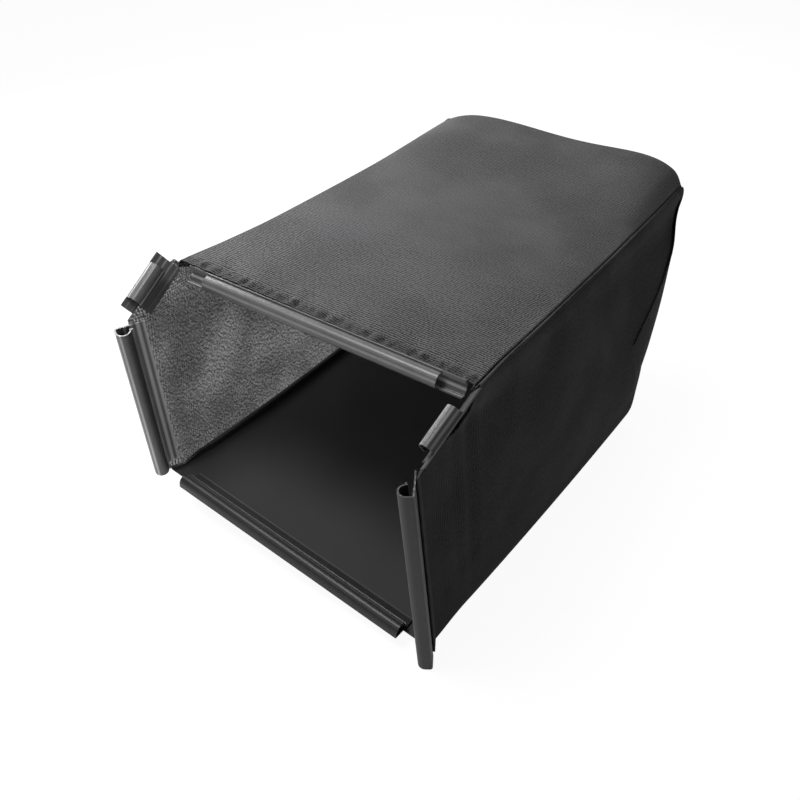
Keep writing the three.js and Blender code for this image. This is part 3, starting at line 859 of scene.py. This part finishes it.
@dataclass
class ClothPanels:
    """The four cloth panels of the bag, with their sizes in millimetres."""

    form: BagForm
    across: int = 150
    reaches: int = 26

    # The hem's puckers, the groove that its stitching pulls in and the soft folds behind it
    pucker: float = 1.7
    pucker_place: Span = (7.0, 6.5)
    groove: float = 0.5
    groove_spread: float = 1.6
    fold: float = 0.9
    fold_place: Span = (26.0, 14.0)

    # The slack of the wide faces
    top_slack: float = 1.6
    bottom_slack: float = 0.8
    side_slack: float = 2.0

    # The sides' folds near the mouth, their bulge at the rear and their roll under the top's seam
    side_fold: float = 2.6
    side_fold_place: Span = (50.0, 60.0)
    bulge: float = 7.5
    bulge_place: Span = (462.0, 62.0)
    roll: float = 3.0
    roll_place: Span = (266.0, 10.0)
    seam_drop: float = 4.5

    # The columns of a side over which its rounded edge turns into its wall
    wall_columns: tuple[int, int] = (14, 24)

    def build(self) -> None:
        """Makes and dresses every panel."""
        self._top()
        self._bottom()
        self._side(Side.LEFT, LIT_SIDE_MESH.make())
        self._side(Side.RIGHT, SHADED_SIDE_MESH.make())

    def _wrap(self, stations: list[tuple[Curve, float]]) -> tuple[Array, Array, Array]:
        """Returns the points of a wrap panel, its flat coordinates and each row's inward way."""
        shares = np.linspace(0, 1, self.across + 1)[1:-1]
        points = np.array([self.form.wrap_row(c, t, shares) for c, t in stations])
        inward = np.array([self.form.edge(Side.LEFT, c, t).square for c, t in stations])
        uv = np.stack([arc_lengths(points, 1), np.zeros(points.shape[:2])], axis=2)
        middle = points.shape[1] // 2
        uv[..., 0] -= uv[:, middle : middle + 1, 0]
        uv[..., 1] = arc_lengths(points, 0)[:, middle : middle + 1]
        return points, uv, inward

    @staticmethod
    def _inner(columns: int) -> Array:
        """Returns 1 for each column of a wrap panel, easing to 0 at the folded-in allowances."""
        inner = np.zeros(columns)
        inner[FOLD_POINTS:-FOLD_POINTS] = 1.0
        return smooth(np.convolve(inner, np.ones(FOLD_POINTS) / FOLD_POINTS, mode="same"))

    def _top(self) -> None:
        """Makes the top and rear cloth, puckered along its hem."""
        counts = {Curve.TOP: 130, Curve.REAR_TOP: 14, Curve.REAR: 30}
        stations = self.form.stations(counts)
        stations += [(Curve.FOOT, t) for t in (0.12, 0.25, 0.37, 0.48)]
        points, uv, inward = self._wrap(stations)
        x, run = uv[..., 0], uv[..., 1]
        gathers = ripples(x, 3, 21, 3) + 0.5 * ripples(x + run * 0.6, 5, 9, 2)
        pucker = self.pucker * mound(run, *self.pucker_place) * gathers
        groove = -self.groove * mound(run, STITCH_LINE, self.groove_spread)
        fold = self.fold * mound(run, *self.fold_place) * ripples(x + 0.3 * run, 8, 60, 2)
        slack = self.top_slack * ripples(x * 0.7 + run * 0.5, 11, 260, 2)
        slack = slack * between(run, (40, 160), (760, 900))
        lift = (pucker + groove + fold + slack) * self._inner(points.shape[1])
        points = points - inward[:, None, :] * lift[..., None]
        obj = cloth_sheet("top_back_cloth", points, uv, np.array([0, 0, 1]), self.form.fabric)
        register(obj, TOP_CLOTH.make(), "top_fabric", "top_back_panel")

    def _bottom(self) -> None:
        """Makes the coated bottom cloth."""
        stations = [(Curve.FOOT, t) for t in (0.52, 0.63, 0.75, 0.88)]
        stations += self.form.stations({Curve.BOTTOM: 70, Curve.BOTTOM_HEM: 6})
        points, uv, inward = self._wrap(stations)
        run = uv[..., 1].max() - uv[..., 1]
        slack = self.bottom_slack * ripples(uv[..., 0] + run * 0.4, 21, 190, 2)
        slack = slack * smooth(run, 20, 90) * self._inner(points.shape[1])
        points = points - inward[:, None, :] * slack[..., None]
        obj = cloth_sheet("bottom_cloth", points, uv, np.array([0, 0, -1]), self.form.fabric)
        register(obj, BOTTOM_CLOTH.make(), "coated_bottom", "bottom_panel")

    def _side(self, side: Side, material: Material) -> None:
        """Makes one side cloth."""
        stations = self.form.stations(dict(zip(Curve, (5, 80, 12, 36, 12, 80, 5))))
        reaches = np.linspace(0, 1, self.reaches + 1)[1:]
        points = np.array([self.form.side_row(side, c, t, reaches) for c, t in stations])
        wall = smooth(np.arange(points.shape[1]), *self.wall_columns)[None, :]
        y, z = points[..., 1], points[..., 2]
        folds = self.side_fold * ripples(y + z * 0.12, 31 + side.value, 46, 2)
        folds = folds * mound(y, *self.side_fold_place)
        slack = self.side_slack * ripples(y * 0.6 + z * 0.5, 41 + side.value, 240, 2) * smooth(y, 60, 140)
        bulge = self.bulge * mound(y - REAR_SLANT * z, *self.bulge_place)
        bulge = bulge * between(z, (10, 110), (215, 290))
        roll = self.roll * mound(z, *self.roll_place) * (1 - smooth(y, 500, 580))
        lift = (folds + slack + bulge + roll) * wall * smooth(y, 2, 30)
        outward = np.array([side.value, 0, 0])
        points = points + outward * lift[..., None]
        if side is Side.LEFT:
            seam = (1 - wall) * smooth(z, 190, 240) * between(y, (20, 80), (585, 625))
            points[..., 2] -= self.seam_drop * seam
            points[..., 0] += self.seam_drop * 0.5 * seam
        name = side.name.lower()
        uv = np.stack([y, z], axis=2)
        obj = cloth_sheet(f"{name}_side_cloth", points, uv, outward, self.form.fabric)
        register(obj, material, "side_mesh", f"{name}_side_panel")


@dataclass
class Clips:
    """The plastic clips, which keep their exact shapes and take a plastic finish: a lighter copy of the
    plastic on the left and top clips as painted light, a darker copy on the right and bottom clips as
    painted shade.
    """

    # Which clips take the copy with painted light and which take the copy with painted shade
    pale: tuple[str, ...] = ("top_clip", "upper_left_clip", "lower_left_clip")
    dark: tuple[str, ...] = ("bottom_clip", "upper_right_clip", "lower_right_clip")

    def build(self) -> None:
        """Dresses every clip."""
        for names, finish in ((self.pale, LIT_CLIP_PLASTIC), (self.dark, SHADED_CLIP_PLASTIC)):
            plastic = finish.make()
            for name in names:
                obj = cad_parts[name]
                self._lay_flat(obj.data)
                dress(obj, plastic)

    def _lay_flat(self, mesh: Mesh) -> None:
        """Gives a clip flat coordinates that say where each point lies across its strip.

        Args:
            mesh: The clip's mesh, whose shape stays as it is.
        """
        points = read(mesh.vertices, "co", 3)
        points = points - points.mean(axis=0)
        ways = np.linalg.svd(points, full_matrices=False)[2]
        across = points @ ways[1:].T
        corner = read(mesh.loops, "vertex_index", 1, int)
        layer = mesh.uv_layers.active or mesh.uv_layers.new(name="strip")
        layer.data.foreach_set("uv", across[corner].ravel())


@dataclass
class Tapes:
    """The folded tapes over the seam allowances."""

    form: BagForm
    tape: float = 0.9
    gap: float = 0.5
    start: float = 5.0
    bend_depth: float = 1.2

    # Stations left bare at each end of a seam
    skipped: int = 12

    def build(self) -> None:
        """Makes and dresses every tape."""
        finish = TAPE.make()
        for side in Side:
            self._binding(side, finish)
        dress(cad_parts["rear_bottom_seam_tape"], finish)

    def _outline(self, edge: Edge) -> list[Span]:
        """Returns the binding's middle line across the seam: lateral place, then depth."""
        seam = edge.width + self.form.seam_fold
        reach = self.form.fabric + self.gap + self.tape / 2
        near, far = seam - reach, seam + self.form.seam_gap + reach
        end = edge.allowance + self.gap + self.tape / 2
        middle, bend = (near + far) / 2, (far - near) / 2
        straight = end - self.bend_depth
        arc = [
            (middle - bend * math.cos(a), straight + self.bend_depth * math.sin(a))
            for a in np.linspace(0, math.pi, 9)
        ]
        sides = np.linspace(self.start, straight, 5)[:-1]
        return [(near, d) for d in sides] + arc + [(far, d) for d in sides[::-1]]

    def _binding(self, side: Side, finish: Material) -> None:
        """Makes one side's folded tape."""
        steps = {Curve.TOP: 90, Curve.REAR_TOP: 12, Curve.REAR: 36, Curve.FOOT: 12, Curve.BOTTOM: 80}
        stations = self.form.stations(steps)[self.skipped : -self.skipped]
        rows = []
        for curve, t in stations:
            edge = self.form.edge(side, curve, t)
            rows.append([edge.place(lateral, depth) for lateral, depth in self._outline(edge)])
        points = np.array(rows)
        uv = np.stack([arc_lengths(points, 1), arc_lengths(points, 0)], axis=2)
        outward = self.form.edge(side, *stations[len(stations) // 2]).inward
        name = f"{side.name.lower()}_seam"
        obj = cloth_sheet(f"{name}_tape", points, uv, outward, self.tape)
        finish_modifier(obj, "TRIANGULATE")
        register(obj, finish, "seam_tape", f"{name}_binding")


@dataclass
class Stitching:
    """Rows of sewing thread along the hems, with their sizes in millimetres."""

    form: BagForm
    length: float = 3.4
    gap: float = 1.3
    thickness: float = 0.55

    # How thick a stitch's ends are and how deep they sink, as shares of its thickness
    end_share: float = 0.15
    end_sink: float = 0.55

    # The top's rows behind its front and how deep they sit, along a top edge of that length
    top_rows: Span = (STITCH_LINE, STITCH_LINE + 5.0)
    top_sink: float = 0.15
    top_run: float = 565.0

    # The other hems' rows, as shares of the way across, and how far the sides' hems look to the rear
    side_rows: Span = (0.25, 0.75)
    side_lean: float = 0.45
    bottom_rows: Span = (0.25, 0.8)

    def build(self) -> None:
        """Sews every row and joins them as one piece."""
        thread = self._thread()
        rows = [self._wrap_row(Curve.TOP, run / self.top_run, self.top_sink) for run in self.top_rows]
        rows += self._side_rows()
        rows += [self._wrap_row(Curve.BOTTOM_HEM, t, 0.0) for t in self.bottom_rows]
        places = [place for line, out in rows for place in self._along(line, out)]
        register(self._copies(thread, places), THREAD.make(), "seam_tape")

    def _thread(self) -> Object:
        """Models one stitch, a short thread with rounded, sunken ends."""
        deselect()
        bpy.ops.mesh.primitive_cylinder_add(vertices=6, radius=0.5, depth=1, end_fill_type="NOTHING")
        stitch = bpy.context.object
        stitch.name = "stitch"
        bpy.ops.object.mode_set(mode="EDIT")
        bpy.ops.mesh.select_all(action="SELECT")
        bpy.ops.mesh.subdivide(number_cuts=2)
        bpy.ops.object.mode_set(mode="OBJECT")
        for vertex in stitch.data.vertices:
            share = abs(vertex.co.z) * 2
            slim = math.sqrt(max(0.0, 1 - share**4)) * (1 - self.end_share) + self.end_share
            vertex.co.x = vertex.co.x * slim
            vertex.co.y = vertex.co.y * slim - self.end_sink * share**3
        weld(stitch, 1e-4)
        return stitch

    def _along(self, line: Array, out: Array) -> list[tuple[Array, Array, Array]]:
        """Spaces stitches along a line.

        Args:
            line: Points of the line in millimetres.
            out: The way that the cloth looks along it.

        Returns:
            The middle, the way along and the way out of each stitch.
        """
        run = np.r_[0, np.cumsum(np.linalg.norm(np.diff(line, axis=0), axis=1))]
        count = int(run[-1] // (self.length + self.gap))
        starts = (np.arange(count) + 0.5) * run[-1] / count
        made = []
        for start in starts:
            ends = [
                np.array([np.interp(start + d, run, line[:, k]) for k in range(3)])
                for d in (-self.length / 2, self.length / 2)
            ]
            made.append(((ends[0] + ends[1]) / 2, unit(ends[1] - ends[0]), unit(out)))
        return made

    def _copies(self, stitch: Object, places: list[tuple[Array, Array, Array]]) -> Object:
        """Joins a copy of the stitch at every place into one mesh at the origin."""
        source = np.array([v.co[:] for v in stitch.data.vertices])
        faces = [list(p.vertices) for p in stitch.data.polygons]
        size = np.array([self.thickness, self.thickness, self.length])
        points, polygons = [], []
        for k, (middle, way, out) in enumerate(places):
            out = unit(out - way * np.dot(out, way))
            turn = np.array([np.cross(out, way), out, way])
            points.append((source * size) @ turn + middle + ORIGIN_SHIFT)
            polygons += [[i + k * len(source) for i in face] for face in faces]
        mesh = bpy.data.meshes.new("hem_stitches")
        mesh.from_pydata((np.concatenate(points) * MM).tolist(), [], polygons)
        mesh.update()
        obj = bpy.data.objects.new("hem_stitches", mesh)
        bpy.context.scene.collection.objects.link(obj)
        bpy.data.objects.remove(stitch)
        activate(obj)
        bpy.ops.object.shade_smooth()
        return obj

    def _wrap_row(self, curve: Curve, t: float, sink: float) -> tuple[Array, Array]:
        """Returns a row across the top or bottom of the mouth and the way that the cloth looks."""
        shares = np.linspace(0.02, 0.98, 120)
        line = self.form.wrap_row(curve, t, shares)[FOLD_POINTS:-FOLD_POINTS]
        out = -self.form.edge(Side.LEFT, curve, t).square
        return line - out * sink, out

    def _side_rows(self) -> list[tuple[Array, Array]]:
        """Returns the rows down both sides' hems, on the outside of the cloth."""
        rows = []
        for side in Side:
            c = self.form.corners[side]
            out = unit(np.array([side.value, self.side_lean, 0.0]))
            ends = ((c.throat_top, c.hem_top), (c.throat_fold, c.hem_fold), (c.throat_bottom, c.hem_bottom))
            for inset in self.side_rows:
                top, fold, bottom = (a + (b - a) * inset for a, b in ends)
                for start, end in ((top, fold), (fold, bottom)):
                    line = np.linspace(start, end, 60)[4:-4]
                    rows.append((line, out))
        return rows


@dataclass
class Studio:
    """The pale floor, the soft lamps, the world and the camera."""

    focal_pixels: float = 927.914
    frame_pixels: float = 800.0
    sensor: float = 36.0
    principal: Span = (390.888, 385.723)
    camera_place: Triple = (459.062, -525.978, 766.035)

    # World axes of the photo's right, down and forward directions
    right_axis: Triple = (0.825073, 0.561961, 0.058782)
    down_axis: Triple = (0.377620, -0.471035, -0.797201)
    forward_axis: Triple = (-0.420307, 0.679946, -0.600846)

    # The floor's side in metres, its own light and how much of it the camera and glossy faces see
    floor_side: float = 24.0
    glow: float = 1.1
    seen: float = 0.85
    mirrored: float = 0.3

    # The light from all round, and each lamp's name, place and side in metres and power in watts
    daylight: float = 0.22
    lamps: tuple[tuple[str, Triple, float, float], ...] = (
        ("key", (-0.95, 0.1, 0.75), 0.6, 19),
        ("front", (-0.3, -0.6, 1.4), 0.45, 11),
        ("rear", (-0.5, 1.7, 1.4), 1.4, 8),
    )

    def build(self) -> None:
        """Sets up everything around the bag."""
        self._camera()
        self._floor()
        self._world()
        for lamp in self.lamps:
            self._lamp(*lamp)
        bpy.context.scene.view_settings.view_transform = "Standard"

    def _camera(self) -> None:
        """Places the camera at the photo's viewpoint."""
        data = bpy.data.cameras.new("camera")
        data.sensor_width = self.sensor
        data.lens = self.focal_pixels / self.frame_pixels * self.sensor
        half = self.frame_pixels / 2
        data.shift_x = (half - self.principal[0]) / self.frame_pixels
        data.shift_y = (self.principal[1] - half) / self.frame_pixels
        data.clip_start, data.clip_end = 0.01, 50
        camera = bpy.data.objects.new("camera", data)
        bpy.context.scene.collection.objects.link(camera)
        right, down, forward = (Vector(a) for a in (self.right_axis, self.down_axis, self.forward_axis))
        turn = Matrix((right, -down, -forward)).transposed().to_4x4()
        place = (np.array(self.camera_place) + ORIGIN_SHIFT) * MM
        camera.matrix_world = Matrix.Translation(Vector(place)) @ turn
        bpy.context.scene.camera = camera

    def _floor(self) -> None:
        """Lays a wide pale floor that shows white and keeps the bag's shadow."""
        deselect()
        bpy.ops.mesh.primitive_plane_add(size=self.floor_side, location=(0, 0, 0))
        floor = bpy.context.object
        floor.name = "floor"
        nodes = Nodes("floor_white")
        tree = nodes.tree
        path = tree.nodes.new("ShaderNodeLightPath")
        seen = Value(nodes, path.outputs["Is Camera Ray"]) * self.seen
        seen = seen.most(Value(nodes, path.outputs["Is Glossy Ray"]) * self.mirrored)
        seen = seen.most(Value(nodes, path.outputs["Is Transmission Ray"]) * self.seen)
        nodes.finish((0.8, 0.8, 0.8, 1), 0.9, 0.1)
        glow = tree.nodes.new("ShaderNodeEmission")
        glow.inputs[1].default_value = self.glow
        self._mix(tree, "Material Output", seen.socket, nodes.shader.outputs[0], glow.outputs[0])
        floor.data.materials.append(nodes.material)

    def _world(self) -> None:
        """Gives a soft even light from all round, and white where the camera looks past the floor."""
        world = bpy.data.worlds.new("studio")
        bpy.context.scene.world = world
        world.use_nodes = True
        tree = world.node_tree
        base = tree.nodes["Background"]
        base.inputs[0].default_value = (1, 1, 1, 1)
        base.inputs[1].default_value = self.daylight
        white = tree.nodes.new("ShaderNodeBackground")
        white.inputs[0].default_value = (1, 1, 1, 1)
        path = tree.nodes.new("ShaderNodeLightPath")
        factor = path.outputs["Is Camera Ray"]
        self._mix(tree, "World Output", factor, base.outputs[0], white.outputs[0])

    @staticmethod
    def _mix(tree: NodeTree, target: str, *sources: NodeSocket) -> None:
        """Mixes two shaders by a factor, which comes first, and links the mix to an output."""
        mix = tree.nodes.new("ShaderNodeMixShader")
        for source, socket in zip(sources, mix.inputs):
            tree.links.new(source, socket)
        tree.links.new(mix.outputs[0], tree.nodes[target].inputs[0])

    def _lamp(self, name: str, place: Triple, size: float, power: float) -> None:
        """Adds a square soft lamp that looks at the bag's middle.

        Args:
            name: The lamp's name.
            place: Where it stands, in metres.
            size: Its side in metres.
            power: Its power in watts.
        """
        data = bpy.data.lights.new(name, "AREA")
        data.size = size
        data.energy = power
        lamp = bpy.data.objects.new(name, data)
        bpy.context.scene.collection.objects.link(lamp)
        lamp.location = place
        way = Vector((0, 0, 0.12)) - Vector(place)
        lamp.rotation_euler = way.to_track_quat("-Z", "Y").to_euler()


def main() -> None:
    """Builds the dressed bag and the studio in order."""
    logging.basicConfig(level=logging.INFO, format="%(name)s %(message)s")
    Studio().build()
    form = BagForm()
    ClothPanels(form).build()
    Tapes(form).build()
    Stitching(form).build()
    Clips().build()
    bpy.context.view_layer.update()


if __name__ == "__main__":
    main()
